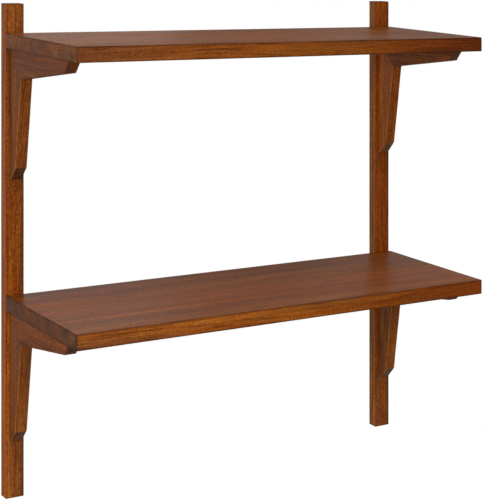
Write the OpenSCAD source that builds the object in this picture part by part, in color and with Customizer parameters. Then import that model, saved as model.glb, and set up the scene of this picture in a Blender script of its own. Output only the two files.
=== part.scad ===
// Two-tier wall shelf: a pair of wooden wall rails carries two boards on mitred wooden brackets.
// Millimetres. The origin is midway between the four wall fixing holes, on the wall's plane.
// +X runs to the right, +Y into the wall and +Z up.

/* [Layout] */
// Distance between the outer sides of the two rails
span_w = 892; // [700:1:1200]
// Height of the upper board's top face above the rails' lower ends
upper_level = 860; // [780:1:880]
// Height of the lower board's top face above the rails' lower ends
lower_level = 376; // [340:1:420]
// Bevel that breaks the wood's sharp edges
ease = 1.5; // [0.5:0.1:2]

/* [Rails] */
// Length of a rail
rail_h = 914; // [900:1:1000]
// Width of a rail, seen from the front
rail_w = 36; // [34:1:44]
// Thickness of a rail, from the wall outwards
rail_t = 22; // [20:1:26]

/* [Boards] */
// Length of a board
board_l = 896; // [700:1:1200]
// Depth of a board, from back edge to front edge
board_d = 296; // [285:1:340]
// Thickness of a board
board_t = 28; // [26:1:34]
// Gap between a board's back edge and the rails
board_gap = 2; // [0.5:0.5:6]

/* [Brackets] */
// Width of a bracket, seen from the front
bracket_w = 24; // [22:1:30]
// Depth of both members at the mitre
mitre = 52.5; // [50:0.5:60]
// Length of the arm's top face
arm_l = 251; // [245:1:270]
// How far the arm's nose slopes back
nose_run = 19; // [10:1:25]
// Height of the arm's nose
nose_h = 24; // [20:1:28]
// Height of the leg
leg_h = 242; // [235:1:250]
// Depth of the leg where its toe begins to slope
toe_d = 27.5; // [25:0.5:32]
// Height of the toe's slope
toe_h = 24; // [15:1:28]
// Depth of the toe's blunt end
toe_end = 6; // [3:0.5:10]

/* [Wood screws] */
// Radius over the thread
screw_r = 2.1; // [2:0.05:2.3]
// Radius of the head
screw_head_r = 4.1; // [3.8:0.1:4.3]
// Length of a screw that holds a bracket to its rail
rail_screw_l = 45; // [40:1:48]
// Length of a screw that holds a board to its arm
board_screw_l = 40; // [36:1:42]
// Depth of a rail screw's head below the rail's back
rail_screw_sink = 6; // [4:0.5:8]
// How far a board screw reaches into its board
board_screw_bite = 18; // [14:1:20]

/* [Hanger plates] */
// Distance from a rail's end to the wall fixing hole
hanger_inset = 42; // [40:1:60]
// Length of a hanger plate
plate_l = 50; // [48:1:56]
// Width of a hanger plate
plate_w = 18; // [17:1:20]
// Thickness of a hanger plate
plate_t = 2; // [1.5:0.1:2.5]
// Radius of the hole that passes a wall screw's head
keyhole_r = 5; // [4.5:0.1:5.5]
// Width of the slot that holds a wall screw's shank
slot_w = 5; // [4:0.1:5.5]
// Height of the slot's end above the round hole's centre
slot_rise = 12; // [10:0.5:13]

/* [Hidden] */

// Clearance round every screw, dowel and plate
fit = 0.05;
// Reach of a solid that is cut down to size
far = 1300;

rail_x = (span_w - rail_w) / 2;
rail_bottom = -rail_h / 2;
upper_face = rail_bottom + upper_level - board_t;
lower_face = rail_bottom + lower_level - board_t;
hanger_z = rail_h / 2 - hanger_inset;

// Side views of the bracket's members, from the corner where the board's underside meets the rail
arm_outline = [[0, 0], [-arm_l, 0], [nose_run - arm_l, -nose_h], [-mitre, -mitre]];
leg_outline = [[0, 0], [-mitre, -mitre], [-toe_d, toe_h - leg_h], [-toe_end, -leg_h], [0, -leg_h]];

// Heights of a leg's two screws below the board, and places of an arm's two screws from the rail
leg_screw_z = [-75, -180];
arm_screw_y = [-95, -195];

// Dowels across the mitre: radius, half length and distances from the corner
dowel_r = 3;
dowel_half = 15;
dowel_y = [-20, -36];

// Small countersunk screws of the hanger plates
plate_screw_r = 1.5;
plate_screw_head_r = 2.9;
plate_screw_l = 16;
plate_screw_z = plate_l / 2 - 6;
// The plate's middle sits this far above the round hole
plate_rise = 3;
// Room behind the plate for a wall screw's head
head_room_r = 6.5;
head_room_y = 12;

rail_color = "#8a4a22";
board_color = "#9a5630";
arm_color = "#804522";
leg_color = "#8a4c26";
dowel_color = "#d2b48c";
steel_color = "#b8bcc0";

// Rectangle about the origin with its four corners cut off at 45 degrees
module bevelled_rectangle(w, h) {
  x = w / 2;
  y = h / 2;
  polygon([
    [ease - x, -y], [x - ease, -y], [x, ease - y], [x, y - ease],
    [x - ease, y], [ease - x, y], [-x, y - ease], [-x, ease - y]
  ]);
}

// Block about the origin with all twelve edges bevelled
module eased_block(w, d, h) {
  intersection() {
    linear_extrude(height = h, center = true) bevelled_rectangle(w, d);
    rotate([90, 0, 0]) linear_extrude(height = d, center = true) bevelled_rectangle(w, h);
    rotate([90, 0, 90]) linear_extrude(height = w, center = true) bevelled_rectangle(d, h);
  }
}

// Half-space bar whose face passes through two points of a side view, with both its long edges bevelled.
// The wood lies on the left of the way from p to q.
module face_bar(p, q) {
  x = bracket_w / 2;
  translate([0, p[0], p[1]])
    rotate([atan2(q[1] - p[1], q[0] - p[0]), 0, 0])
      rotate([90, 0, 0])
        linear_extrude(height = far, center = true)
          polygon([[ease - x, 0], [x - ease, 0], [x, ease], [x, far], [-x, far], [-x, ease]]);
}

// Bracket member: its side view drawn out to the bracket's width, with some faces' edges bevelled
module member(outline, eased_faces) {
  intersection() {
    rotate([90, 0, 90]) linear_extrude(height = bracket_w, center = true) polygon(outline);
    intersection_for(i = eased_faces) face_bar(outline[i], outline[(i + 1) % len(outline)]);
  }
}

// Profile of a wood screw, half of its lengthwise section, with its head up and its point at -length
function thread_points(r, root, z_from, z_to, turns) = [
  for (i = [0:turns - 1])
    let (z = z_from + (z_to - z_from) * i / turns, step = (z_to - z_from) / turns)
      for (p = [[root, z], [r, z + step / 2]]) p
];

module wood_screw(length, r, head_r, turns) {
  root = 0.7 * r;
  cone_h = head_r - root;
  thread_top = -0.4 * length;
  tip = 2.5 * r - length;
  difference() {
    rotate_extrude($fn = 48) polygon(concat(
      [[0, 0], [head_r, 0], [head_r, -0.4], [root, -0.4 - cone_h]],
      thread_points(r, root, thread_top, tip, turns),
      [[root, tip], [0, -length]]
    ));
    for (a = [0, 90])
      rotate([0, 0, a]) translate([-0.6 * head_r, -0.1 * head_r, -0.35 * head_r])
        cube([1.2 * head_r, 0.2 * head_r, head_r]);
  }
}

// Hole for a wood screw, with a flat-bottomed counterbore above the head
module screw_hole(length, r, head_r, turns, sink) {
  cone_h = head_r - 0.7 * r;
  translate([0, 0, -length - 1]) cylinder(r = r + fit, h = length + 2, $fn = 48);
  translate([0, 0, -0.4 - cone_h])
    cylinder(r1 = 0.7 * r + fit, r2 = head_r + fit, h = cone_h, $fn = 48);
  translate([0, 0, -0.4]) cylinder(r = head_r + 0.5, h = sink + 1, $fn = 48);
}

// Puts its children in a bracket's own frame
module at_bracket(side, face) {
  translate([side * rail_x, -rail_t, face]) children();
}

// Places of the rail screws and board screws, each pointing its way into the wood
module at_rail_screws() {
  for (z = leg_screw_z)
    translate([0, rail_t - rail_screw_sink, z]) rotate([-90, 0, 0]) children();
}

module at_board_screws() {
  for (y = arm_screw_y)
    translate([0, y, board_screw_bite - board_screw_l]) rotate([180, 0, 0]) children();
}

module at_dowels() {
  for (y = dowel_y) translate([0, y, y]) rotate([45, 0, 0]) children();
}

module rail_screw_holes() {
  at_rail_screws() screw_hole(rail_screw_l, screw_r, screw_head_r, 14, rail_screw_sink);
}

module board_screw_holes() {
  at_board_screws() screw_hole(board_screw_l, screw_r, screw_head_r, 12, mitre);
}

module dowel_holes() {
  at_dowels() cylinder(r = dowel_r + fit, h = 2 * dowel_half + 2, center = true, $fn = 48);
}

// Puts its children at a hanger: level is 1 at the top of the rail and -1 at the bottom
module at_hanger(side, level) {
  translate([side * rail_x, 0, level * hanger_z]) rotate([-90, 0, 0]) children();
}

// Flat shape with round ends, standing along Y about a middle point
module round_ended(length, width) {
  reach = (length - width) / 2;
  translate([-width / 2, -reach]) square([width, 2 * reach]);
  for (s = [-1, 1]) translate([0, s * reach]) circle(d = width, $fn = 48);
}

// Here the wall is at z = 0 and the wood below it; up the rail is -Y
module hanger_pocket() {
  translate([0, -plate_rise, -plate_t - fit])
    linear_extrude(height = plate_t + 1) round_ended(plate_l + 2 * fit, plate_w + 2 * fit);
  hull_free_slot(head_room_r, -head_room_y, plate_t);
  for (s = [-1, 1])
    translate([0, s * plate_screw_z - plate_rise, -plate_t - plate_screw_l])
      cylinder(r = plate_screw_r + fit, h = plate_screw_l + 1, $fn = 32);
}

// Slot from the round hole's centre up to the resting place of the wall screw
module hull_free_slot(r, from, depth) {
  translate([0, 0, from]) linear_extrude(height = -from - depth + 1) {
    translate([-r, -slot_rise]) square([2 * r, slot_rise]);
    circle(r = r, $fn = 48);
    translate([0, -slot_rise]) circle(r = r, $fn = 48);
  }
}

module rail(side) {
  color(rail_color) difference() {
    translate([side * rail_x, -rail_t / 2, 0]) eased_block(rail_w, rail_t, rail_h);
    for (face = [upper_face, lower_face]) at_bracket(side, face) rail_screw_holes();
    for (level = [-1, 1]) at_hanger(side, level) hanger_pocket();
  }
}

module board(face) {
  color(board_color) difference() {
    translate([0, -rail_t - board_gap - board_d / 2, face + board_t / 2])
      eased_block(board_l, board_d, board_t);
    for (side = [-1, 1]) at_bracket(side, face) board_screw_holes();
  }
}

module arm(side, face) {
  color(arm_color) at_bracket(side, face) difference() {
    member(arm_outline, [1, 2]);
    board_screw_holes();
    dowel_holes();
  }
}

module leg(side, face) {
  color(leg_color) at_bracket(side, face) difference() {
    member(leg_outline, [1, 2, 3]);
    rail_screw_holes();
    dowel_holes();
  }
}

module dowels(side, face) {
  color(dowel_color) at_bracket(side, face) at_dowels()
    rotate_extrude($fn = 48) polygon([
      [0, -dowel_half], [dowel_r - 0.8, -dowel_half], [dowel_r, 0.8 - dowel_half],
      [dowel_r, dowel_half - 0.8], [dowel_r - 0.8, dowel_half], [0, dowel_half]
    ]);
}

module rail_screws(side, face) {
  color(steel_color) at_bracket(side, face) at_rail_screws()
    wood_screw(rail_screw_l, screw_r, screw_head_r, 14);
}

module board_screws(side, face) {
  color(steel_color) at_bracket(side, face) at_board_screws()
    wood_screw(board_screw_l, screw_r, screw_head_r, 12);
}

module hanger(side, level) {
  sink = plate_screw_head_r - 0.7 * plate_screw_r;
  color(steel_color) at_hanger(side, level) difference() {
    translate([0, -plate_rise, -plate_t])
      linear_extrude(height = plate_t) round_ended(plate_l, plate_w);
    translate([0, 0, -plate_t - 1]) cylinder(r = keyhole_r, h = plate_t + 2, $fn = 48);
    translate([-slot_w / 2, -slot_rise, -plate_t - 1]) cube([slot_w, slot_rise, plate_t + 2]);
    translate([0, -slot_rise, -plate_t - 1]) cylinder(d = slot_w, h = plate_t + 2, $fn = 48);
    for (s = [-1, 1]) translate([0, s * plate_screw_z - plate_rise, 0]) {
      translate([0, 0, -plate_t - 1]) cylinder(r = plate_screw_r + fit, h = plate_t + 2, $fn = 32);
      translate([0, 0, -0.4 - sink])
        cylinder(r1 = 0.7 * plate_screw_r + fit, r2 = plate_screw_head_r + fit, h = sink, $fn = 32);
      translate([0, 0, -0.4]) cylinder(r = plate_screw_head_r + fit, h = 1, $fn = 32);
    }
  }
}

module hanger_screws(side, level) {
  color(steel_color) at_hanger(side, level)
    for (s = [-1, 1]) translate([0, s * plate_screw_z - plate_rise, 0])
      wood_screw(plate_screw_l, plate_screw_r, plate_screw_head_r, 8);
}

rail(-1);  // left_rail
rail(1);  // right_rail
board(upper_face);  // upper_board
board(lower_face);  // lower_board
arm(-1, upper_face);  // upper_left_arm
leg(-1, upper_face);  // upper_left_leg
arm(1, upper_face);  // upper_right_arm
leg(1, upper_face);  // upper_right_leg
arm(-1, lower_face);  // lower_left_arm
leg(-1, lower_face);  // lower_left_leg
arm(1, lower_face);  // lower_right_arm
leg(1, lower_face);  // lower_right_leg
dowels(-1, upper_face);  // upper_left_dowels
dowels(1, upper_face);  // upper_right_dowels
dowels(-1, lower_face);  // lower_left_dowels
dowels(1, lower_face);  // lower_right_dowels
rail_screws(-1, upper_face);  // upper_left_rail_screws
rail_screws(1, upper_face);  // upper_right_rail_screws
rail_screws(-1, lower_face);  // lower_left_rail_screws
rail_screws(1, lower_face);  // lower_right_rail_screws
board_screws(-1, upper_face);  // upper_left_board_screws
board_screws(1, upper_face);  // upper_right_board_screws
board_screws(-1, lower_face);  // lower_left_board_screws
board_screws(1, lower_face);  // lower_right_board_screws
hanger(-1, 1);  // top_left_hanger
hanger(1, 1);  // top_right_hanger
hanger(-1, -1);  // bottom_left_hanger
hanger(1, -1);  // bottom_right_hanger
hanger_screws(-1, 1);  // top_left_hanger_screws
hanger_screws(1, 1);  // top_right_hanger_screws
hanger_screws(-1, -1);  // bottom_left_hanger_screws
hanger_screws(1, -1);  // bottom_right_hanger_screws
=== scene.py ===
import math

import bpy
import numpy as np
from mathutils import Matrix, Vector


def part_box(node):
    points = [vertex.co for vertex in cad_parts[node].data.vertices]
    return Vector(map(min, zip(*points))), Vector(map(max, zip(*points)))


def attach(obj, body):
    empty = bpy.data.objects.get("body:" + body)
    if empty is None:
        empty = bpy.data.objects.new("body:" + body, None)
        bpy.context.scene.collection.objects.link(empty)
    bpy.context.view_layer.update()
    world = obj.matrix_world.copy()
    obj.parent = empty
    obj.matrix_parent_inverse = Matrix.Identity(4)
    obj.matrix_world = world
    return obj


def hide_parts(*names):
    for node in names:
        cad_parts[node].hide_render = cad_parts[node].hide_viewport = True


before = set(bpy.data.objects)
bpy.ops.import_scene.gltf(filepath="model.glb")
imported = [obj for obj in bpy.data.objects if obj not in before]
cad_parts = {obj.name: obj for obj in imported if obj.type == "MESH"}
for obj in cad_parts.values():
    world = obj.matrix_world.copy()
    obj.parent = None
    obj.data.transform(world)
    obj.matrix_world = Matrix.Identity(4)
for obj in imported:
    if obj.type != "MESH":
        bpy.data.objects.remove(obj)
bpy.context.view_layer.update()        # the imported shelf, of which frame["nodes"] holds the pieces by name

# Looks of a wooden wall shelf: stained hardwood rails, boards and mitred brackets under satin lacquer,
# plated screws and hanger plates. Metres throughout, +Z up, the wall on the +Y side of the rails.

MM = 0.001

TIERS = ("upper", "lower")
SIDES = ("left", "right")
ENDS = ("top", "bottom")

# ---------------------------------------------------------------- joinery sizes

RAIL_EASE = 1.0 * MM
BOARD_EASE = 1.4 * MM
BRACKET_EASE = 1.8 * MM
CONTACT_EASE = 0.4 * MM      # edges that lie against another piece of wood
MITRE_EASE = 0.12 * MM       # half the hairline that shows at a mitre
LEAST_RADIUS = 0.1 * MM
EASE_STEPS = 4
HAND = 0.22                  # how much the sanded edges vary in width

NOSE_RUN = 19 * MM           # the arm's nose slopes back by this much
NOSE_HEIGHT = 24 * MM
TOE_DEPTH = 27.5 * MM        # the leg's depth where its toe begins to slope
TOE_HEIGHT = 24 * MM
TOE_END = 6 * MM

GRAIN_STEP = 14 * MM         # spacing of the rings of vertices along a long piece
EDGE_STEP = 6 * MM           # the same across a narrow face
EDGE_ROOM = 6 * MM           # the first ring lies this far from a corner of the outline
RAIL_END_ROOM = 5 * MM       # the same on a rail's ends
BOARD_END_ROOM = 8 * MM      # and at a board's ends
CONTACT_ROOM = 4 * MM        # and on a bracket's sides that lie against other wood
NOSE_MARKS = (6 * MM, 22 * MM)
HOLE_CELL = 8 * MM           # half the side of the square that a screw hole is cut in
HOLE_PITCH = 2 * MM
HOLE_RIM = 0.3 * MM
SCREW_ROOM = 0.5 * MM        # a counterbore is wider than its screw's head by this much all round
HEAD_LIP = 0.4 * MM

PLATE_FIT = 0.05 * MM
POCKET_CELL_X = 13 * MM
POCKET_CELL_Z = 30 * MM
POCKET_PITCH = 3 * MM
POCKET_FLOOR = 12 * MM
POCKET_RADIUS = 6.5 * MM
KEYHOLE_DROP = 3 * MM        # the keyhole's round hole sits this far below the plate's middle
KEYHOLE_RISE = 12 * MM

# the sanded edges' unevenness: each wave's share, how far it runs in a radian, and its shift by the seed
EDGE_WAVES = ((0.5, 53.0 * MM, 1.7), (0.3, 21.0 * MM, 2.9), (0.2, 8.7 * MM, 4.1))
SIDE_WAVE = 7                # the waves of the two flat sides start this far on from the outline's


def unevenness(distance, seed):
    """A smooth wave between -1 and 1: a sum of sines of unrelated wavelengths, shifted by the seed."""
    return sum(share * np.sin(distance / length + shift * seed) for share, length, shift in EDGE_WAVES)


class Outline:
    """A convex side view in the YZ plane, its corners listed anticlockwise.

    Side i runs from corner i to the next corner. ease[i] is how far the rounding of the wood's edges
    reaches in from side i, radius[i] rounds corner i itself, and marks[i] are the distances along
    side i at which the surface has vertices."""

    def __init__(self, corners, ease, radius, marks):
        self.corners = np.array(corners, float)
        self.ease = np.array(ease, float)
        self.radius = np.array(radius, float)
        self.marks = marks
        span = np.roll(self.corners, -1, axis=0) - self.corners
        self.length = np.linalg.norm(span, axis=1)
        self.along = span / self.length[:, None]
        self.out = np.stack([self.along[:, 1], -self.along[:, 0]], axis=1)

    def loop(self, share, seed, swell=0.0):
        """The outline with side i moved in by share * ease[i], as (points, normals, edge weight).

        A corner is an arc about the point that lies the arc's radius inside both moved sides. The
        easing along a side swells and shrinks with unevenness(), and the corner arcs with swell."""
        inset = share * self.ease
        before = np.roll(inset, 1)
        out_before = np.roll(self.out, 1, axis=0)
        radius = np.maximum(self.radius * (1 + swell) - np.maximum(before, inset), LEAST_RADIUS)
        cross = out_before[:, 0] * self.out[:, 1] - out_before[:, 1] * self.out[:, 0]
        pull_before, pull = -(before + radius), -(inset + radius)
        shift = np.stack([
            (pull_before * self.out[:, 1] - pull * out_before[:, 1]) / cross,
            (out_before[:, 0] * pull - self.out[:, 0] * pull_before) / cross,
        ], axis=1)
        centre = self.corners + shift
        start = np.arctan2(out_before[:, 1], out_before[:, 0])
        turn = np.arccos(np.clip((out_before * self.out).sum(1), -1, 1))
        step = np.linspace(0, 1, EASE_STEPS + 1)
        angle = start[:, None] + turn[:, None] * step
        arc_normal = np.stack([np.cos(angle), np.sin(angle)], axis=2)
        arc = centre[:, None] + radius[:, None, None] * arc_normal
        # the eased edge's weight, which the stain uses for wear and a painted highlight
        wear_and_highlight = np.sin(math.pi * step)[None] * np.clip(self.radius / self.ease.max(), 0, 1)[:, None]
        points, normals, weights = [], [], []
        for i, marks in enumerate(self.marks):
            uneven = 1 + HAND * unevenness(marks, seed + i)
            side = self.corners[i] + marks[:, None] * self.along[i]
            points += [arc[i], side - (inset[i] * uneven)[:, None] * self.out[i]]
            normals += [arc_normal[i], np.repeat(self.out[i][None], len(marks), axis=0)]
            weights += [wear_and_highlight[i], np.zeros(len(marks))]
        return np.concatenate(points), np.concatenate(normals), np.concatenate(weights)

    def side_ease(self, seed):
        """For each point of the loop: its easing as a share of the widest, and its unevenness."""
        share, uneven = [], []
        widest = self.ease.max()
        before = np.roll(self.ease, 1)
        step = np.linspace(0, 1, EASE_STEPS + 1)
        for i, marks in enumerate(self.marks):
            share += [(before[i] + (self.ease[i] - before[i]) * step) / widest,
                      np.full(len(marks), self.ease[i] / widest)]
            uneven += [np.ones(EASE_STEPS + 1), 1 + HAND * unevenness(marks, seed + i)]
        return np.concatenate(share), np.concatenate(uneven)

    def first_mark(self, side):
        """Where side's marks begin in the loop."""
        return sum(EASE_STEPS + 1 + len(m) for m in self.marks[:side]) + EASE_STEPS + 1


class Piece:
    """Vertices, faces and corner normals of one piece of wood while it is being cut."""

    def __init__(self, outline, x_mid, width, stations, seed):
        """The outline carried across the width, with its edges eased towards both flat sides.

        At angle a from 0 to 90 degrees the loop moves in by ease * (1 - sin a) while the side moves
        out by ease * (1 - cos a), which is a quarter round. Between the two quarter rounds the loop
        keeps its full size and is repeated at the stations."""
        self.outline, self.x_mid = outline, x_mid
        widest = outline.ease.max()
        share, uneven = outline.side_ease(seed)
        quarter = np.linspace(0, math.pi / 2, EASE_STEPS + 1)
        half = width / 2
        rows = [(-1, a) for a in quarter] + [(x, None) for x in stations]
        rows += [(1, a) for a in quarter[::-1]]
        points, normals, wear_and_highlight = [], [], []
        for place, angle in rows:
            if angle is None:
                loop, normal, weight = outline.loop(0.0, seed, HAND * unevenness(place, seed + SIDE_WAVE))
                x = np.full(len(loop), place)
                across = np.zeros(len(loop))
            else:
                swell = HAND * unevenness(place * (half - widest), seed + SIDE_WAVE)
                loop, normal, weight = outline.loop(1 - math.sin(angle), seed, swell)
                x = place * (half - widest * uneven * (1 - math.cos(angle)))
                across = np.full(len(loop), place * math.cos(angle))
                normal = normal * math.sin(angle)
                weight = np.maximum(weight * math.sin(angle), share * math.sin(2 * angle))
            points.append(np.column_stack([x_mid + x, loop]))
            normals.append(np.column_stack([across, normal]))
            wear_and_highlight.append(weight)
        self.rows = len(points)
        self.per_row = len(points[0])
        self.station_row = EASE_STEPS + 1
        self.points = [np.concatenate(points)]
        self.wear_and_highlight = [np.concatenate(wear_and_highlight)]
        self.count = self.rows * self.per_row
        self.smooth = np.concatenate(normals)
        self.index = np.arange(self.count).reshape(self.rows, self.per_row)
        self.keep = np.ones((self.rows - 1, self.per_row), bool)
        self.quads, self.quad_normals = [], []
        self.caps, self.cap_normals = [], []
        side = np.array([1.0, 0.0, 0.0])
        self.cap(self.index[-1], side)
        self.cap(self.index[0][::-1], -side)

    def cap(self, loop, normal):
        """One flat face with any number of corners."""
        self.caps.append(loop)
        self.cap_normals.append(np.broadcast_to(normal, (len(loop), 3)))

    def add_ring(self, ring):
        """Puts a loop of new vertices on the piece and returns their numbers."""
        numbers = np.arange(self.count, self.count + len(ring))
        self.points.append(ring)
        self.wear_and_highlight.append(np.zeros(len(ring)))
        self.count += len(ring)
        return numbers

    def sink(self, side, rows, marks, centre, axis, levels):
        """Cuts a round or round-ended hole into the flat of a side.

        The cell of the grid between the given rows and marks is taken out, and its rim is joined to a
        chain of rings. A ring's point is the nearest point of a segment of the side, from low to high
        about the centre, plus its radius towards the rim's vertex: a circle if low equals high. Each
        level is (low, high, radius, depth), with a depth of None on the face itself."""
        first = self.outline.first_mark(side)
        r0, r1 = (self.station_row + r for r in rows)
        c0, c1 = (first + m for m in marks)
        self.keep[r0:r1, c0:c1] = False
        outer = np.concatenate([
            self.index[r0, c0:c1], self.index[r0:r1, c1],
            self.index[r1, c1:c0:-1], self.index[r1:r0:-1, c0],
        ])
        along, out = self.outline.along[side], self.outline.out[side]
        origin = self.outline.corners[side] + centre * along
        axis = np.array(axis, float)
        cross = np.array([-axis[1], axis[0]])
        cross *= np.sign(cross @ along)
        slope = (along @ axis) / (along @ cross)
        base = self.points[0][outer]
        x = base[:, 0] - self.x_mid
        s = (base[:, 1:] - origin) @ cross
        floor_normal = np.array([0.0, *(-axis)])
        last_radius = None
        for low, high, radius, depth in levels:
            core = np.clip(s, low, high)
            away = np.stack([x, s - core], axis=1)
            away /= np.linalg.norm(away, axis=1)[:, None]
            ring_s = core + radius * away[:, 1]
            sunk = ring_s * slope if depth is None else np.full(len(outer), depth)
            yz = origin + ring_s[:, None] * cross + sunk[:, None] * axis
            inner = self.add_ring(np.column_stack([self.x_mid + radius * away[:, 0], yz]))
            if depth is None:
                normal = np.broadcast_to([0.0, *out], (len(outer), 3))
            elif last_radius is not None and abs(last_radius - radius) < HOLE_RIM / 2:
                normal = np.column_stack([-away[:, 0], -away[:, 1:] * cross])
            elif depth < 4 * HOLE_RIM:
                normal = np.column_stack([-away[:, 0], -away[:, 1:] * cross]) + [0.0, *out]
                normal /= np.linalg.norm(normal, axis=1)[:, None]
            else:
                normal = np.broadcast_to(floor_normal, (len(outer), 3))
            turn = np.roll(np.arange(len(outer)), -1)
            self.quads.append(np.stack([outer, outer[turn], inner[turn], inner], axis=1))
            self.quad_normals.append(np.stack([normal, normal[turn], normal[turn], normal], axis=1))
            outer, last_radius = inner, radius
        self.cap(outer, floor_normal)

    def build(self, name):
        """The finished mesh object, with exact normals and the share of eased edge at each vertex, which the
        stain uses for wear and a painted highlight.
        """
        row, col = np.nonzero(self.keep)
        after = (col + 1) % self.per_row
        skin = np.stack([self.index[row, col], self.index[row, after],
                         self.index[row + 1, after], self.index[row + 1, col]], axis=1)
        quads = np.concatenate([skin] + self.quads)
        faces = quads.tolist() + [loop.tolist() for loop in self.caps]
        normals = [self.smooth[skin].reshape(-1, 3)]
        normals += [n.reshape(-1, 3) for n in self.quad_normals] + self.cap_normals
        mesh = bpy.data.meshes.new(name)
        mesh.from_pydata(np.concatenate(self.points).tolist(), [], faces)
        # the eased-edge weight: the stain pales these edges, partly as wear, partly as a painted highlight
        mesh.attributes.new("wear_and_highlight", "FLOAT", "POINT").data.foreach_set("value", np.concatenate(self.wear_and_highlight))
        mesh.polygons.foreach_set("use_smooth", np.ones(len(faces), bool))
        mesh.normals_split_custom_set(np.concatenate(normals).tolist())
        mesh.update()
        piece = bpy.data.objects.new(name, mesh)
        bpy.context.scene.collection.objects.link(piece)
        return piece


def spaced(low, high, step):
    """Evenly spaced distances from low to high, no further apart than step."""
    return np.linspace(low, high, max(2, math.ceil((high - low) / step) + 1))


def with_cells(length, margin, cells):
    """Marks along a side, even but for the cells, each (centre, half length, pitch).
    Returns the marks and the first and last mark of each cell."""
    marks, spans = [], []
    at = margin
    for centre, half, pitch in sorted(cells):
        if centre - half > at:
            marks += spaced(at, centre - half, GRAIN_STEP)[:-1].tolist()
        inside = spaced(centre - half, centre + half, pitch)
        spans.append((len(marks), len(marks) + len(inside) - 1))
        marks += inside[:-1].tolist()
        at = centre + half
    marks += spaced(at, length - margin, GRAIN_STEP).tolist()
    return np.array(marks), spans


def screw_centres(node, axis):
    """Places along an axis of the two screws in a node, and their heads' radius."""
    low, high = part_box(node)
    head = (high.x - low.x) / 2
    return [low[axis] + head, high[axis] - head], head


# ---------------------------------------------------------------- wood pieces

def rail(side, seed):
    """A wall rail: a long eased bar. Its back has four counterbored screw holes and two plate pockets."""
    low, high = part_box(f"{side}_rail")
    depth, height = high.y - low.y, high.z - low.z
    screws = []
    for tier in TIERS:
        places, head = screw_centres(f"{tier}_{side}_rail_screws", 2)
        screws += [z - low.z for z in places]
    sink = high.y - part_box(f"upper_{side}_rail_screws")[1].y
    plates = []
    for end in ENDS:
        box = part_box(f"{end}_{side}_hanger")
        plates.append((box[0].z + box[1].z) / 2 - low.z)
    plate_low, plate_high = box      # both ends have the same plate
    cells = [(z, HOLE_CELL, HOLE_PITCH) for z in screws]
    cells += [(z, POCKET_CELL_Z, POCKET_PITCH) for z in plates]
    back, spans = with_cells(height, EDGE_ROOM, cells)
    plain = spaced(EDGE_ROOM, height - EDGE_ROOM, GRAIN_STEP)
    ends = spaced(RAIL_END_ROOM, depth - RAIL_END_ROOM, EDGE_STEP)
    outline = Outline(
        [(low.y, low.z), (high.y, low.z), (high.y, high.z), (low.y, high.z)],
        [RAIL_EASE] * 4, [RAIL_EASE] * 4, [ends, back, ends, plain],
    )
    inner = spaced(-HOLE_CELL, HOLE_CELL, HOLE_PITCH)
    stations = np.concatenate([[-POCKET_CELL_X], inner, [POCKET_CELL_X]])
    piece = Piece(outline, (low.x + high.x) / 2, high.x - low.x, stations, seed)
    bore = head + SCREW_ROOM
    floor = sink + HEAD_LIP
    plate_r = (plate_high.x - plate_low.x) / 2 + PLATE_FIT
    plate_reach = (plate_high.z - plate_low.z) / 2 + PLATE_FIT - plate_r
    plate_depth = plate_high.y - plate_low.y + PLATE_FIT
    key_low, key_high = -KEYHOLE_DROP, KEYHOLE_RISE - KEYHOLE_DROP
    for (centre, half, _), span in zip(sorted(cells), spans):
        if half == HOLE_CELL:
            rows = (1, len(stations) - 2)
            levels = [(0, 0, bore + HOLE_RIM, None), (0, 0, bore, HOLE_RIM), (0, 0, bore, floor)]
        else:
            rows = (0, len(stations) - 1)
            levels = [
                (-plate_reach, plate_reach, plate_r, None),
                (-plate_reach, plate_reach, plate_r, plate_depth),
                (key_low, key_high, POCKET_RADIUS, plate_depth),
                (key_low, key_high, POCKET_RADIUS, POCKET_FLOOR),
            ]
        piece.sink(1, rows, span, centre, (-1, 0), levels)
    return piece.build(f"{side}_rail_wood")


def board(tier, seed):
    """A shelf board: a wide eased plank that runs across both rails."""
    low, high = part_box(f"{tier}_board")
    depth, thick = high.y - low.y, high.z - low.z
    across = spaced(EDGE_ROOM, depth - EDGE_ROOM, GRAIN_STEP)
    edge = spaced(EDGE_ROOM, thick - EDGE_ROOM, EDGE_STEP)
    outline = Outline(
        [(low.y, low.z), (high.y, low.z), (high.y, high.z), (low.y, high.z)],
        [BOARD_EASE] * 4, [BOARD_EASE] * 4, [across, edge, across, edge],
    )
    width = high.x - low.x
    stations = spaced(-width / 2 + BOARD_END_ROOM, width / 2 - BOARD_END_ROOM, GRAIN_STEP)
    return Piece(outline, 0.0, width, stations, seed).build(f"{tier}_board_wood")


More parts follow.
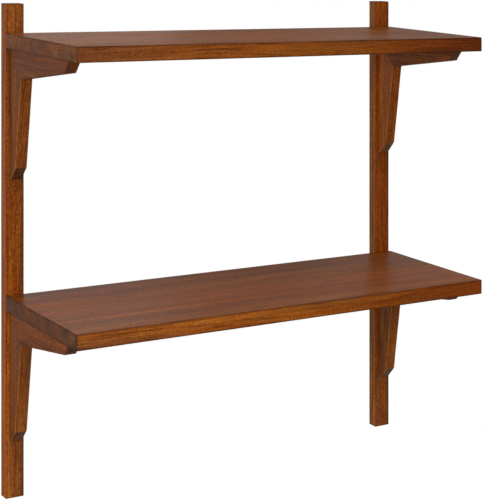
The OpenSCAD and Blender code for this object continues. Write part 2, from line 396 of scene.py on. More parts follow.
def arm(tier, side, seed):
    """A bracket's arm: it tapers to a sloped nose and is mitred at the rail. Two screw holes open below."""
    low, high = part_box(f"{tier}_{side}_arm")
    top, back, mitre = high.z, high.y, high.z - low.z
    reach = high.y - low.y
    nose = (back - reach + NOSE_RUN, top - NOSE_HEIGHT)
    inner = (back - mitre, top - mitre)
    under = math.dist(nose, inner)
    slope = (inner[0] - nose[0]) / under
    places, head = screw_centres(f"{tier}_{side}_board_screws", 1)
    cells = [((y - nose[0]) / slope, HOLE_CELL, HOLE_PITCH) for y in places]
    underside, spans = with_cells(under, EDGE_ROOM, cells)
    outline = Outline(
        [(back, top), (back - reach, top), nose, inner],
        [CONTACT_EASE, BRACKET_EASE, BRACKET_EASE, MITRE_EASE],
        [LEAST_RADIUS, 2 * CONTACT_EASE, BRACKET_EASE, LEAST_RADIUS],
        [spaced(CONTACT_ROOM, reach - CONTACT_ROOM, GRAIN_STEP), spaced(*NOSE_MARKS, EDGE_STEP),
         underside, spaced(CONTACT_ROOM, math.hypot(mitre, mitre) - CONTACT_ROOM, GRAIN_STEP)],
    )
    stations = spaced(-HOLE_CELL, HOLE_CELL, HOLE_PITCH)
    piece = Piece(outline, (low.x + high.x) / 2, high.x - low.x, stations, seed)
    bore = head + SCREW_ROOM
    head_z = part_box(f"{tier}_{side}_board_screws")[0].z
    for (centre, _, _), span in zip(sorted(cells), spans):
        face_z = nose[1] + centre * (inner[1] - nose[1]) / under
        floor = head_z + HEAD_LIP - face_z
        levels = [(0, 0, bore + HOLE_RIM, None), (0, 0, bore, 3 * HOLE_RIM), (0, 0, bore, floor)]
        piece.sink(2, (0, len(stations) - 1), span, centre, (0, 1), levels)
    return piece.build(f"{tier}_{side}_arm_wood")


def leg(tier, side, seed):
    """A bracket's leg: it tapers down the rail to a sloped toe and is mitred under the board."""
    low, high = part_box(f"{tier}_{side}_leg")
    top, back, mitre = high.z, high.y, high.y - low.y
    knee = (back - TOE_DEPTH, low.z + TOE_HEIGHT)
    toe = (back - TOE_END, low.z)
    inner = (back - mitre, top - mitre)
    front = math.dist(inner, knee)
    outline = Outline(
        [(back, top), inner, knee, toe, (back, low.z)],
        [MITRE_EASE, BRACKET_EASE, BRACKET_EASE, 0.5 * BRACKET_EASE, CONTACT_EASE],
        [LEAST_RADIUS, LEAST_RADIUS, BRACKET_EASE, 0.6 * BRACKET_EASE, CONTACT_EASE],
        [spaced(CONTACT_ROOM, math.hypot(mitre, mitre) - CONTACT_ROOM, GRAIN_STEP),
         spaced(CONTACT_ROOM, front - EDGE_ROOM, GRAIN_STEP),
         spaced(EDGE_ROOM, math.dist(knee, toe) - EDGE_ROOM, EDGE_STEP),
         np.array([TOE_END / 2]),
         spaced(CONTACT_ROOM, top - low.z - CONTACT_ROOM, GRAIN_STEP)],
    )
    stations = spaced(-HOLE_CELL, HOLE_CELL, 2 * HOLE_CELL)
    piece = Piece(outline, (low.x + high.x) / 2, high.x - low.x, stations, seed)
    return piece.build(f"{tier}_{side}_leg_wood")


# ---------------------------------------------------------------- materials

def tree_of(material):
    """The node tree of a material or world, emptied."""
    material.use_nodes = True
    material.node_tree.nodes.clear()
    return material.node_tree


def put(tree, kind, inputs=None, **settings):
    """Adds a node. An input is another node's socket, or a plain value set on the socket itself."""
    node = tree.nodes.new(kind)
    for name, value in settings.items():
        setattr(node, name, value)
    for name, value in (inputs or {}).items():
        if isinstance(value, bpy.types.NodeSocket):
            tree.links.new(value, node.inputs[name])
        else:
            node.inputs[name].default_value = value
    return node


def maths(tree, operation, a, b=0.5, c=0.5):
    """One Math node; its result."""
    node = put(tree, "ShaderNodeMath", {0: a, 1: b, 2: c}, operation=operation)
    return node.outputs[0]


def ramp(tree, factor, stops, interpolation="LINEAR"):
    """A colour ramp with stops of (place, grey or colour); its colour."""
    node = put(tree, "ShaderNodeValToRGB", {"Fac": factor})
    bar = node.color_ramp
    bar.interpolation = interpolation
    while len(bar.elements) < len(stops):
        bar.elements.new(0.5)
    for element, (place, colour) in zip(bar.elements, stops):
        element.position = place
        element.color = (*colour, 1) if isinstance(colour, tuple) else (colour, colour, colour, 1)
    return node.outputs["Color"]


def blend_colours(tree, kind, factor, a, b):
    """Colour a blended with b in the given way, by the factor; its colour."""
    node = put(tree, "ShaderNodeMix", data_type="RGBA", blend_type=kind)
    for name, value in (("Factor_Float", factor), ("A_Color", a), ("B_Color", b)):
        socket = next(s for s in node.inputs if s.identifier == name)
        if isinstance(value, bpy.types.NodeSocket):
            tree.links.new(value, socket)
        else:
            socket.default_value = value
    return next(s for s in node.outputs if s.identifier == "Result_Color")


def noise(tree, vector, scale, detail=3.0, roughness=0.5):
    """Noise stretched by a scale for each axis; its value."""
    mapped = put(tree, "ShaderNodeMapping", {"Vector": vector, "Scale": scale}).outputs[0]
    return put(tree, "ShaderNodeTexNoise", {
        "Vector": mapped, "Scale": 1.0, "Detail": detail, "Roughness": roughness,
    }).outputs["Fac"]


def part_of(tree, vector, axis):
    """A vector's part along X, Y or Z, given as 0, 1 or 2."""
    return put(tree, "ShaderNodeSeparateXYZ", {0: vector}).outputs[axis]


def vector_maths(tree, operation, a, b):
    """One Vector Math node; its result."""
    return put(tree, "ShaderNodeVectorMath", {0: a, 1: b}, operation=operation).outputs[0]


# Turns that bring a piece's grain from that axis onto Z
GRAIN_TURN = {"X": (0, -math.pi / 2, 0), "Y": (math.pi / 2, 0, 0), "Z": (0, 0, 0)}

STAIN_LIGHT = (0.60, 0.205, 0.036)
STAIN_MID = (0.375, 0.100, 0.0100)
STAIN_DARK = (0.145, 0.028, 0.002)
HEART_STREAK = (0.170, 0.072, 0.030, 1)
# paler wood at sanded edges: partly wear, partly a painted highlight along eased edges
RUBBED_WOOD_AND_HIGHLIGHT = (0.60, 0.235, 0.060, 1)
# tones that the stain is multiplied by
# darker stain at edges and along lines: partly stain gathered there, partly painted shade
GATHERED_STAIN_AND_SHADE = (0.26, 0.20, 0.20, 1)
DASH_SHADE = (0.48, 0.41, 0.40, 1)
PORE_SHADE = (0.42, 0.34, 0.28, 1)
RED_CAST = (1.05, 0.97, 0.92)
OLIVE_CAST = (0.98, 1.03, 1.05)
END_SHADE = {"X": (0.84, 0.92, 1.70), "Y": (0.62, 0.74, 1.80), "Z": (0.60, 0.76, 1.80)}
THIRSTY_END = (0.58, 0.62, 0.78)

# changes in a metre for each layer of the figure: across the grain in both directions, then along it
RING_BEND = (7, 7, 1.6)
RING_WANDER = (30, 30, 1.5)
BAND = (30, 30, 1.3)
STREAK = (190, 190, 4.5)
FLECK = (480, 480, 210)
FIBRE = (900, 900, 22)
PORE = (1500, 1500, 110)
HEART = (24, 24, 0.9)
DASH = (330, 330, 13)
DASH_PATCH = (11, 11, 2.2)
HUE = (8, 8, 1.7)
BLOTCH = (9, 9, 2.5)
END_BLOTCH = (26, 26, 2)
RUB_PATCH = (60, 60, 60)
BEECH_FLECK = (1400, 1400, 180)
BEECH_GRAIN = (500, 500, 12)
ROLLING_LINES = (4000, 4000, 160)

RINGS_PER_METRE = 170.0
RING_BEND_REACH = 45 * MM
RING_WANDER_REACH = 1.6        # in rings
# how much each layer counts in how dark the stain is
BAND_SHARE = 0.24
STREAK_SHARE = 0.26
FLECK_SHARE = 0.34
FIBRE_SHARE = 0.10
RING_SHARE = 0.06
EVEN_STAIN = 0.48              # the darkness of wood with no figure
DASH_STRENGTH = 0.75
PORE_STRENGTH = 0.6
STAVE_SHIFT = (3.1, 0.16, 0.09)
STAVE_TONE = 0.14
# how far in from the edges the darkening reaches: partly gathered stain, partly painted shade
EDGE_STAIN_AND_SHADE_REACH = 4.0             # in millimetres
PORE_DEPTH = 0.2 * MM
FINE_DEPTH = 0.1 * MM
LACQUER_INDEX = 1.32


def from_edge(tree, where, low, high):
    """How far a point on a box is from the box's nearest edge, in millimetres.

    Of its three distances to a pair of sides, one is nothing on the box's skin, and the middle one is
    the distance to the edge: the larger of min(a, b) and min(max(a, b), c)."""
    split = put(tree, "ShaderNodeSeparateXYZ", {0: where})
    gaps = []
    for axis in range(3):
        off = maths(tree, "SUBTRACT", split.outputs[axis], (low[axis] + high[axis]) / 2)
        gaps.append(maths(tree, "SUBTRACT", (high[axis] - low[axis]) / 2, maths(tree, "ABSOLUTE", off)))
    a, b, c = gaps
    inner = maths(tree, "MINIMUM", maths(tree, "MAXIMUM", a, b), c)
    return maths(tree, "DIVIDE", maths(tree, "MAXIMUM", maths(tree, "MINIMUM", a, b), inner), MM)


def sawn_staves(tree, where, staves, key):
    """A glued-up board's staves: the own tone of each, from 0 to 1, and where in a trunk it was sawn.

    They lie side by side in depth, from a first place on and with one width, and the key picks their
    tones and places."""
    first, width = staves
    number = maths(tree, "DIVIDE", maths(tree, "SUBTRACT", part_of(tree, where, 1), first), width)
    number = maths(tree, "ADD", maths(tree, "FLOOR", number), key)
    chance = put(tree, "ShaderNodeTexWhiteNoise", {"W": number}, noise_dimensions="1D")
    shift = vector_maths(tree, "MULTIPLY", chance.outputs["Color"], STAVE_SHIFT)
    return chance.outputs["Value"], vector_maths(tree, "ADD", where, shift)


def year_rings(tree, turned):
    """The grain's own frame bent by slow noise, and how dark the rings are in it.

    The rings are circles about the pith. Each is pale early in its year and dark late in it."""
    bend = put(tree, "ShaderNodeMapping", {"Vector": turned, "Scale": RING_BEND}).outputs[0]
    bend = put(tree, "ShaderNodeTexNoise", {"Vector": bend, "Scale": 1.0, "Detail": 2.0}).outputs["Color"]
    bend = vector_maths(tree, "SUBTRACT", bend, (0.5, 0.5, 0.5))
    bend = put(tree, "ShaderNodeVectorMath", {0: bend, "Scale": RING_BEND_REACH}, operation="SCALE")
    bent = vector_maths(tree, "ADD", turned, bend.outputs[0])
    flat = vector_maths(tree, "MULTIPLY", bent, (1, 1, 0))
    radius = put(tree, "ShaderNodeVectorMath", {0: flat}, operation="LENGTH").outputs["Value"]
    wander = maths(tree, "MULTIPLY", noise(tree, bent, RING_WANDER, 2.0), RING_WANDER_REACH)
    season = maths(tree, "FRACT", maths(tree, "MULTIPLY_ADD", radius, RINGS_PER_METRE, wander))
    late = ramp(tree, season, [(0.0, 0.35), (0.55, 0.15), (0.86, 0.95), (1.0, 0.35)], "EASE")
    return bent, late


def stain_colour(tree, turned, bent, layers, figure):
    """What the stain makes of the grain.

    Broad bands and the layers, each (value, share), add up to how dark it is, as strongly as figure
    says. Then come brown heart streaks, dark dashes in patches and a slow drift from red to olive."""
    depth = maths(tree, "MULTIPLY", noise(tree, bent, BAND, 3.0, 0.55), BAND_SHARE)
    for layer, share in layers:
        depth = maths(tree, "MULTIPLY_ADD", layer, share, depth)
    depth = maths(tree, "MULTIPLY_ADD", depth, figure, EVEN_STAIN - EVEN_STAIN * figure)
    colour = ramp(tree, depth, [(0.36, STAIN_LIGHT), (0.47, STAIN_MID), (0.61, STAIN_DARK)])
    heart = ramp(tree, noise(tree, bent, HEART, 3.0, 0.6), [(0.50, 0.0), (0.66, 0.42)])
    colour = blend_colours(tree, "MIX", heart, colour, HEART_STREAK)
    patch = ramp(tree, noise(tree, bent, DASH_PATCH, 2.0), [(0.40, 0.15), (0.58, 1.0)])
    dash = ramp(tree, noise(tree, turned, DASH, 2.0, 0.55), [(0.52, 0.0), (0.64, 1.0)])
    dash = maths(tree, "MULTIPLY", maths(tree, "MULTIPLY", dash, patch), DASH_STRENGTH)
    colour = blend_colours(tree, "MULTIPLY", dash, colour, DASH_SHADE)
    hue = ramp(tree, noise(tree, bent, HUE, 2.0), [(0.38, RED_CAST), (0.60, OLIVE_CAST)])
    return blend_colours(tree, "MULTIPLY", 1.0, colour, hue)


def thirsty_ends(tree, colour, normal, turned, grain, ends):
    """The colour with a piece's cut ends darker, unevenly, because they drink more stain."""
    axis = tuple(np.eye(3)["XYZ".index(grain)])
    facing = put(tree, "ShaderNodeVectorMath", {0: normal, 1: axis}, operation="DOT_PRODUCT")
    facing = maths(tree, "ABSOLUTE", facing.outputs["Value"])
    end = ramp(tree, facing, [(0.25, 0.0), (0.72, 1.0)], "EASE")
    shade = (*(ends * part for part in END_SHADE[grain]), 1)
    colour = blend_colours(tree, "MULTIPLY", end, colour, shade)
    drank = noise(tree, turned, END_BLOTCH, 2.0)
    drank = ramp(tree, drank, [(0.36, THIRSTY_END), (0.56, (1.0, 1.0, 1.0))])
    return blend_colours(tree, "MULTIPLY", end, colour, drank)


def side_line(tree, colour, where, normal, depth, half, strength):
    """The colour with a dark line along a piece's left and right sides, centred on a place in depth."""
    off = maths(tree, "ABSOLUTE", maths(tree, "SUBTRACT", part_of(tree, where, 1), depth))
    line = ramp(tree, maths(tree, "DIVIDE", off, half), [(0.2, strength), (1.0, 0.0)], "EASE")
    flat_on = maths(tree, "ABSOLUTE", part_of(tree, normal, 1))
    line = maths(tree, "MULTIPLY", line, maths(tree, "SUBTRACT", 1.0, flat_on))
    return blend_colours(tree, "MULTIPLY", line, colour, GATHERED_STAIN_AND_SHADE)


def stained_wood(name, box, grain, pith, tone, figure=1.0, rub_and_highlight=0.0, staves=None, edge_stain_and_shade=0.0,
                 tone_along=None, front=None, across=None, ends=1.0, lines=()):
    """Stained hardwood under satin lacquer, solid through the piece.

    The figure is noise drawn out along the grain and year rings about the pith. Figure is how strongly
    it shows. A glued-up board has staves, each with its own rings and tone. The box is the piece's low
    and high corner: the tone along is the tone at its low end, middle and high end along the grain, which
    on a rail is painted light, front is the same for front faces only, as painted light with painted sheen
    at places, and across is the tone at its left and right, as painted light. Ends is the tone of cut ends.
    The edge darkening says how far the box's edges darken, partly by stain gathered there and partly by
    painted shade; sanded edges are paler by the rub, partly wear and partly a painted highlight; and lines
    are dark lines along the sides, each (depth, half width, strength), such as a glue line and painted
    shade along a rail's back edge."""
    material = bpy.data.materials.new(name)
    tree = tree_of(material)
    where = put(tree, "ShaderNodeTexCoord").outputs["Object"]
    normal = put(tree, "ShaderNodeNewGeometry").outputs["Normal"]
    own_tone, sawn_from = sawn_staves(tree, where, staves, pith[2]) if staves else (None, where)
    turned = put(tree, "ShaderNodeMapping", {
        "Vector": sawn_from, "Rotation": GRAIN_TURN[grain], "Location": pith}).outputs[0]
    bent, late = year_rings(tree, turned)
    streak = noise(tree, bent, STREAK, 3.0, 0.65)
    fleck = noise(tree, turned, FLECK, 2.0, 0.55)
    fibre = noise(tree, turned, FIBRE, 2.0, 0.6)
    pores = ramp(tree, noise(tree, turned, PORE, 1.0, 0.5), [(0.60, 0.0), (0.70, 1.0)])
    blotch = noise(tree, turned, BLOTCH, 2.0)
    layers = (streak, STREAK_SHARE), (fleck, FLECK_SHARE), (fibre, FIBRE_SHARE), (late, RING_SHARE)
    colour = stain_colour(tree, turned, bent, layers, figure)

    # the piece's own tone, from blotches, its stave and its place along the grain, with painted light along
    # a rail, across it and on front faces
    shade = maths(tree, "MULTIPLY_ADD", blotch, 0.36, 0.82)
    if staves:
        own_tone = maths(tree, "MULTIPLY_ADD", own_tone, STAVE_TONE, -STAVE_TONE / 2)
        shade = maths(tree, "ADD", shade, own_tone)
    along = "XYZ".index(grain)
    length = box[1][along] - box[0][along]
    at = maths(tree, "MULTIPLY_ADD", part_of(tree, where, along), 1 / length, -box[0][along] / length)
    # along the grain: painted light on a rail, the piece's tone on a board
    if tone_along:
        along_tone = ramp(tree, at, list(zip((0.0, 0.5, 1.0), tone_along)), "EASE")
        shade = maths(tree, "MULTIPLY", shade, along_tone)
    # painted light: paler towards the rail's left side, darker towards its right
    if across:
        slope = (across[1] - across[0]) / (box[1][0] - box[0][0])
        lean = maths(tree, "MULTIPLY_ADD", part_of(tree, where, 0), slope, across[0] - box[0][0] * slope)
        shade = maths(tree, "MULTIPLY", shade, lean)
    shades = [maths(tree, "MULTIPLY", shade, part) for part in tone]
    cast = put(tree, "ShaderNodeCombineColor", dict(enumerate(shades))).outputs[0]
    colour = blend_colours(tree, "MULTIPLY", 1.0, colour, cast)
    # painted light: front faces get a tone of their own, with painted sheen at places
    if front:
        faces_out = maths(tree, "MULTIPLY", part_of(tree, normal, 1), -1.0)
        faces_out = maths(tree, "MAXIMUM", faces_out, 0.0)
        own = ramp(tree, at, list(zip((0.0, 0.45, 1.0), front)), "EASE")
        colour = blend_colours(tree, "MULTIPLY", faces_out, colour, own)
    dark_pores = maths(tree, "MULTIPLY", pores, PORE_STRENGTH)
    colour = blend_colours(tree, "MULTIPLY", dark_pores, colour, PORE_SHADE)

    colour = thirsty_ends(tree, colour, normal, turned, grain, ends)
    # darker towards the box's edges: partly stain gathered there, partly painted shade along rims and where
    # pieces meet
    if edge_stain_and_shade:
        stain_and_shade_at_edge = maths(tree, "DIVIDE", from_edge(tree, where, *box), EDGE_STAIN_AND_SHADE_REACH)
        stain_and_shade_at_edge = ramp(tree, stain_and_shade_at_edge, [(0.0, edge_stain_and_shade), (0.35, 0.6 * edge_stain_and_shade), (1.0, 0.0)], "EASE")
        colour = blend_colours(tree, "MULTIPLY", stain_and_shade_at_edge, colour, GATHERED_STAIN_AND_SHADE)
    # dark lines along the sides: a rail's glue line, and painted shade along its back edge
    for line in lines:
        colour = side_line(tree, colour, where, normal, *line)
    # paler sanded edges: partly wear, partly a painted highlight along the eased edges
    if rub_and_highlight:
        wear_and_highlight = put(tree, "ShaderNodeAttribute", attribute_name="wear_and_highlight").outputs["Fac"]
        patchy = ramp(tree, noise(tree, where, RUB_PATCH, 3.0, 0.6), [(0.30, 0.25), (0.65, 1.0)])
        rubbed_and_highlit = maths(tree, "MULTIPLY", maths(tree, "MULTIPLY", wear_and_highlight, patchy), rub_and_highlight)
        colour = blend_colours(tree, "MIX", rubbed_and_highlit, colour, RUBBED_WOOD_AND_HIGHLIGHT)

    rough = maths(tree, "MULTIPLY_ADD", blotch, 0.16, 0.30)
    rough = maths(tree, "MULTIPLY_ADD", pores, 0.14, rough)
    height = maths(tree, "MULTIPLY_ADD", fibre, 0.35, maths(tree, "MULTIPLY", streak, 0.5))
    height = maths(tree, "SUBTRACT", height, pores)
    bump = put(tree, "ShaderNodeBump", {"Height": height, "Strength": 0.35, "Distance": PORE_DEPTH})
    shader = put(tree, "ShaderNodeBsdfPrincipled", {
        "Base Color": colour, "Roughness": rough, "Normal": bump.outputs[0], "IOR": LACQUER_INDEX,
    })
    put(tree, "ShaderNodeOutputMaterial", {"Surface": shader.outputs[0]})
    return material


def plated_steel(name, colour, spangle, rough):
    """Zinc-plated steel: cloudy plating with fine rolling lines."""
    material = bpy.data.materials.new(name)
    tree = tree_of(material)
    where = put(tree, "ShaderNodeTexCoord").outputs["Object"]
    cloud = noise(tree, where, (spangle,) * 3, 3.0, 0.6)
    lines = noise(tree, where, ROLLING_LINES, 2.0, 0.5)
    mixed = maths(tree, "ADD", maths(tree, "MULTIPLY", cloud, 0.7), maths(tree, "MULTIPLY", lines, 0.3))
    tint = ramp(tree, mixed, [(0.3, tuple(0.78 * c for c in colour)), (0.7, colour)])
    roughness = maths(tree, "MULTIPLY_ADD", mixed, 0.22, rough)
    bump = put(tree, "ShaderNodeBump", {"Height": mixed, "Strength": 0.25, "Distance": FINE_DEPTH})
    shader = put(tree, "ShaderNodeBsdfPrincipled", {
        "Base Color": tint, "Metallic": 1.0, "Roughness": roughness, "Normal": bump.outputs[0]})
    put(tree, "ShaderNodeOutputMaterial", {"Surface": shader.outputs[0]})
    return material


def bare_beech(name):
    """Unfinished beech: pale wood with short darker flecks along a dowel, which lies at 45 degrees."""
    material = bpy.data.materials.new(name)
    tree = tree_of(material)
    where = put(tree, "ShaderNodeTexCoord").outputs["Object"]
    along = put(tree, "ShaderNodeMapping", {"Vector": where, "Rotation": (-math.pi / 4, 0, 0)}).outputs[0]
    fleck = noise(tree, along, BEECH_FLECK, 2.0, 0.6)
    grain = noise(tree, along, BEECH_GRAIN, 3.0, 0.6)
    mixed = maths(tree, "ADD", maths(tree, "MULTIPLY", fleck, 0.4), maths(tree, "MULTIPLY", grain, 0.6))
    tint = ramp(tree, mixed, [(0.35, (0.66, 0.48, 0.30)), (0.65, (0.42, 0.27, 0.15))])
    roughness = maths(tree, "MULTIPLY_ADD", mixed, 0.2, 0.6)
    bump = put(tree, "ShaderNodeBump", {"Height": mixed, "Strength": 0.3, "Distance": FINE_DEPTH})
    shader = put(tree, "ShaderNodeBsdfPrincipled", {
        "Base Color": tint, "Roughness": roughness, "Normal": bump.outputs[0]})
    put(tree, "ShaderNodeOutputMaterial", {"Surface": shader.outputs[0]})
    return material


# ---------------------------------------------------------------- the shelf

def finish_wood(piece, node, material):
    """Gives a wood piece its stain and puts it in the place of its node."""
    piece.data.materials.append(material)
    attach(piece, "root")
    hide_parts(node)


def pith_of(first, step, number):
    """Where a piece's pith lies: the first piece's, and as many steps on as the number."""
    return tuple(np.add(first, np.multiply(step, number)).tolist())


# Tones by which the stain is multiplied, red, green and blue; a rail's also paints a sheen on its sides.
# The fronts' tones are painted light on front faces only, with painted sheen at places: a rail's front
# has one at its foot, its middle and its top, and a board's front one at its left end, its middle and
# its right end.
# a rail's tone, which also paints a sheen on its sides
RAIL_TONE_AND_SHEEN = {"left": (1.35, 1.25, 0.90), "right": (0.86, 1.10, 1.45)}
# painted light on rail fronts, with painted sheen at places
RAIL_FRONT_PAINTED_LIGHT = {
    "left": ((0.72, 0.76, 1.15), (0.69, 0.70, 0.74), (0.64, 0.74, 1.25)),
    "right": ((1.16, 0.80, 0.50), (1.18, 0.78, 0.25), (1.22, 0.80, 0.25)),
}
BOARD_TONE = {"upper": (1.28, 1.26, 0.76), "lower": (1.07, 1.04, 0.82)}
# painted light on board fronts, with painted sheen at the upper board's left end
BOARD_FRONT_PAINTED_LIGHT = {
    "upper": ((0.55, 0.57, 1.80), (0.96, 0.92, 0.90), (0.52, 0.36, 0.30)),
    "lower": ((1.06, 1.08, 1.70), (1.28, 1.26, 1.20), (0.84, 0.68, 0.30)),
}
# how strong the tone is at a rail's foot, middle and top and at its left and right sides, which is
# painted light, at a board's left end, middle and right end, and on a board's cut ends
RAIL_PAINTED_LIGHT_ALONG = {"left": (1.14, 1.02, 1.02), "right": (1.38, 0.94, 1.06)}
RAIL_PAINTED_LIGHT_ACROSS = (1.36, 0.72)
BOARD_TONE_ALONG = {"upper": (1.02, 1.02, 0.86), "lower": (1.00, 1.02, 1.00)}
BOARD_ENDS = {"upper": 0.98, "lower": 0.78}
# an arm's tone and how strong its nose's is
ARM_LOOK = {
    ("upper", "left"): ((0.97, 0.92, 0.90), 1.0),
    ("upper", "right"): ((0.68, 0.68, 0.68), 1.5),
    ("lower", "left"): ((1.00, 0.95, 0.92), 0.62),
    ("lower", "right"): ((0.90, 0.88, 0.90), 0.7),
}
# a leg's tone, how strong its front's painted light is at the foot, middle and top, and how strong its toe's
# is
LEG_LOOK = {
    ("upper", "left"): ((0.80, 0.78, 0.76), (0.96, 0.96, 0.96), 0.9),
    ("upper", "right"): ((1.26, 1.20, 0.95), (0.86, 0.86, 0.86), 1.3),
    ("lower", "left"): ((0.92, 0.88, 0.90), (1.02, 1.02, 1.10), 0.98),
    ("lower", "right"): ((0.76, 0.86, 0.86), (1.40, 1.42, 1.46), 1.5),
}
RAIL_FIGURE = 1.05
BOARD_FIGURE = 0.78
# how dark the edges get: partly stain gathered there, partly painted shade
RAIL_EDGE_STAIN_AND_SHADE = 0.5
BOARD_EDGE_STAIN_AND_SHADE = 0.75
# how pale sanded edges get: partly wear, partly a painted highlight
ARM_RUB_AND_HIGHLIGHT = 0.20
LEG_RUB_AND_HIGHLIGHT = 0.75
STAVES = 4
GLUE_DEPTH = 11 * MM           # a rail's glue line lies this far behind its front
GLUE_LINE = (2.0 * MM, 0.6)    # half width and strength of the line, and of the painted shade along the rail's back edge
BACK_EDGE_SHADE = (5.5 * MM, 0.9)

RAIL_PITH = ((0.31, -0.05, 0.0), (0.12, 0.4, 1.3))
BOARD_PITH = ((0.07, 0.19, 5.3), (0.0, 0.2, 2.6))
ARM_PITH = ((0.5, 0.0, 0.0), (0.2, 0.04, 1.0))
LEG_PITH = ((0.45, 0.0, 0.0), (0.2, 0.03, 2.0))
RAIL_SEED = 3.0
BOARD_SEED = 11.0
BRACKET_SEED = 20.0
TIER_STEP = 5
SIDE_STEP = 2

for number, side in enumerate(SIDES):
    node = f"{side}_rail"
    low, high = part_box(node)
    # a dark glue line, and painted shade along the rail's back edge
    lines = ((low.y + GLUE_DEPTH, *GLUE_LINE), (high.y, *BACK_EDGE_SHADE))
    wood = stained_wood(
        f"{node}_stain", (low, high), "Z", pith_of(*RAIL_PITH, number), RAIL_TONE_AND_SHEEN[side],
        figure=RAIL_FIGURE, edge_stain_and_shade=RAIL_EDGE_STAIN_AND_SHADE, tone_along=RAIL_PAINTED_LIGHT_ALONG[side], front=RAIL_FRONT_PAINTED_LIGHT[side],
        across=RAIL_PAINTED_LIGHT_ACROSS, lines=lines,
    )
    finish_wood(rail(side, RAIL_SEED + number), node, wood)

for number, tier in enumerate(TIERS):
    node = f"{tier}_board"
    low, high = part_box(node)
    wood = stained_wood(
        f"{node}_stain", (low, high), "X", pith_of(*BOARD_PITH, number), BOARD_TONE[tier],
        figure=BOARD_FIGURE, edge_stain_and_shade=BOARD_EDGE_STAIN_AND_SHADE, tone_along=BOARD_TONE_ALONG[tier], front=BOARD_FRONT_PAINTED_LIGHT[tier],
        staves=(low.y, (high.y - low.y) / STAVES), ends=BOARD_ENDS[tier],
    )
    finish_wood(board(tier, BOARD_SEED + number), node, wood)
    for other, side in enumerate(SIDES):
        seed = BRACKET_SEED + TIER_STEP * number + SIDE_STEP * other
        node = f"{tier}_{side}_arm"
        tone, ends = ARM_LOOK[tier, side]
        wood = stained_wood(
            f"{node}_stain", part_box(node), "Y", pith_of(*ARM_PITH, seed), tone, rub_and_highlight=ARM_RUB_AND_HIGHLIGHT, ends=ends,
        )
        finish_wood(arm(tier, side, seed), node, wood)
        node = f"{tier}_{side}_leg"
        tone, front, ends = LEG_LOOK[tier, side]
        wood = stained_wood(
            f"{node}_stain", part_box(node), "Z", pith_of(*LEG_PITH, seed), tone,
            rub_and_highlight=LEG_RUB_AND_HIGHLIGHT, front=front, ends=ends,
        )
        finish_wood(leg(tier, side, seed + 1), node, wood)

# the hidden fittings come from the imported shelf, and are known by the last word of their names
FITTING_FINISH = {
    "screws": plated_steel("yellow_zinc", (0.72, 0.62, 0.42), 700, 0.26),
    "hanger": plated_steel("bright_zinc", (0.70, 0.71, 0.72), 260, 0.24),
    "dowels": bare_beech("bare_beech"),
}
for name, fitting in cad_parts.items():
    finish = FITTING_FINISH.get(name.split("_")[-1])
    if finish:
        fitting.data.materials.clear()
        fitting.data.materials.append(finish)

# ---------------------------------------------------------------- floor, light and camera

FLOOR_Z = -1.36
FLOOR_HALF = 14.0
FLOOR_PAINT = (0.45, 0.45, 0.45, 1)
WHITE = (1, 1, 1, 1)


def pale_floor():
    """A flat square, as white to the eye as the air round it, and a mid grey as it throws light on."""
    corner = np.array([(-1, -1), (1, -1), (1, 1), (-1, 1)]) * FLOOR_HALF
    mesh = bpy.data.meshes.new("floor")
    mesh.from_pydata([(x, y, FLOOR_Z) for x, y in corner.tolist()], [], [(0, 1, 2, 3)])
    floor = bpy.data.objects.new("floor", mesh)
    bpy.context.scene.collection.objects.link(floor)
    material = bpy.data.materials.new("pale_floor")
    tree = tree_of(material)
    paint = put(tree, "ShaderNodeBsdfDiffuse", {"Color": FLOOR_PAINT}).outputs[0]
    glow = put(tree, "ShaderNodeEmission", {"Color": WHITE, "Strength": 1.0}).outputs[0]
    seen = put(tree, "ShaderNodeLightPath").outputs["Is Camera Ray"]
    both = put(tree, "ShaderNodeMixShader", {0: seen, 1: paint, 2: glow}).outputs[0]
    put(tree, "ShaderNodeOutputMaterial", {"Surface": both})
    mesh.materials.append(material)


def air(strength):
    """White to the eye, and a soft grey as a source of light."""
    world = bpy.data.worlds.new("studio")
    bpy.context.scene.world = world
    tree = tree_of(world)
    soft = put(tree, "ShaderNodeBackground", {"Color": WHITE, "Strength": strength}).outputs[0]
    white = put(tree, "ShaderNodeBackground", {"Color": WHITE, "Strength": 1.0}).outputs[0]
    seen = put(tree, "ShaderNodeLightPath").outputs["Is Camera Ray"]
    both = put(tree, "ShaderNodeMixShader", {0: seen, 1: soft, 2: white}).outputs[0]
    put(tree, "ShaderNodeOutputWorld", {"Surface": both})


def softbox(name, place, target, size, power, gives="both"):
    """A square area light that faces a point. It gives a sheen, plain light without one, or both."""
    lamp = bpy.data.lights.new(name, "AREA")
    lamp.size = size
    lamp.energy = power
    holder = bpy.data.objects.new(name, lamp)
    bpy.context.scene.collection.objects.link(holder)
    holder.location = place
    holder.rotation_euler = (Vector(target) - Vector(place)).to_track_quat("-Z", "Y").to_euler()
    holder.visible_diffuse = gives != "sheen"
    holder.visible_glossy = gives != "light"


AIR = 0.22
MIDDLE = (0.0, -0.1, 0.0)
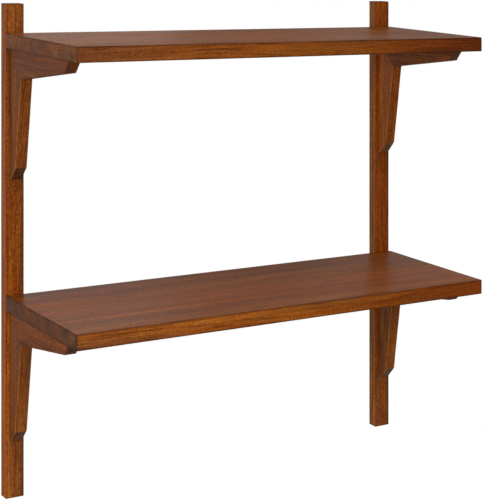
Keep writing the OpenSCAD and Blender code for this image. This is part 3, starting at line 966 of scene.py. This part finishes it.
# place, target, size and power of each light, and whether it gives only a sheen or only plain light
SOFTBOXES = {
    "key": ((-1.2, -2.2, 0.5), MIDDLE, 1.0, 19.6),
    "side": ((-2.2, -1.0, 0.0), MIDDLE, 1.0, 6.2),
    "overhead": ((-0.4, -1.4, 2.2), MIDDLE, 1.4, 16.4),
    "right": ((2.6, 0.4, -0.1), MIDDLE, 1.4, 12.0, "light"),
    "behind": ((0.0, 2.6, -0.1), MIDDLE, 1.4, 9.0, "light"),
    "back_left": ((-1.4, 2.6, -0.1), MIDDLE, 2.2, 4.0, "sheen"),
    "back_right": ((0.8, 2.7, 0.65), MIDDLE, 1.2, 1.8, "sheen"),
    "far_right": ((2.9, 2.7, 0.7), MIDDLE, 1.2, 0.8, "sheen"),
}

CAMERA_PLACE = (-1.576, -2.607, 0.618)
CAMERA_TURN = math.radians(32.49)     # to the right of straight at the wall
CAMERA_FALL = 0.2164                  # how far the middle of the view drops over a distance of one
CAMERA_LEAN = 0.0276                  # the view's level lines climb by this much
LENS_AT_LEVEL = 108.8


def camera():
    """A view with upright uprights: its picture plane stands vertical while its axis looks down.

    The columns of the matrix are the picture's right, the picture's up and the way back along the
    axis. The matrix is sheared, so it is carried as the parent's inverse of an unturned camera."""
    right = Vector((math.cos(CAMERA_TURN), -math.sin(CAMERA_TURN), CAMERA_LEAN))
    up = Vector((0, 0, 1))
    ahead = Vector((math.sin(CAMERA_TURN), math.cos(CAMERA_TURN), -CAMERA_FALL))
    columns = (right.normalized(), up, -ahead.normalized())
    stand = bpy.data.objects.new("camera_stand", None)
    eye = bpy.data.objects.new("camera", bpy.data.cameras.new("camera"))
    eye.data.lens = LENS_AT_LEVEL * ahead.length
    eye.data.clip_end = 100.0
    for item in (stand, eye):
        bpy.context.scene.collection.objects.link(item)
    matrix = Matrix([[c[i] for c in columns] + [CAMERA_PLACE[i]] for i in range(3)] + [[0, 0, 0, 1]])
    eye.parent = stand
    eye.matrix_parent_inverse = matrix
    bpy.context.scene.camera = eye


pale_floor()
air(AIR)
for name, settings in SOFTBOXES.items():
    softbox(name, *settings)
camera()
bpy.context.scene.view_settings.view_transform = "Standard"
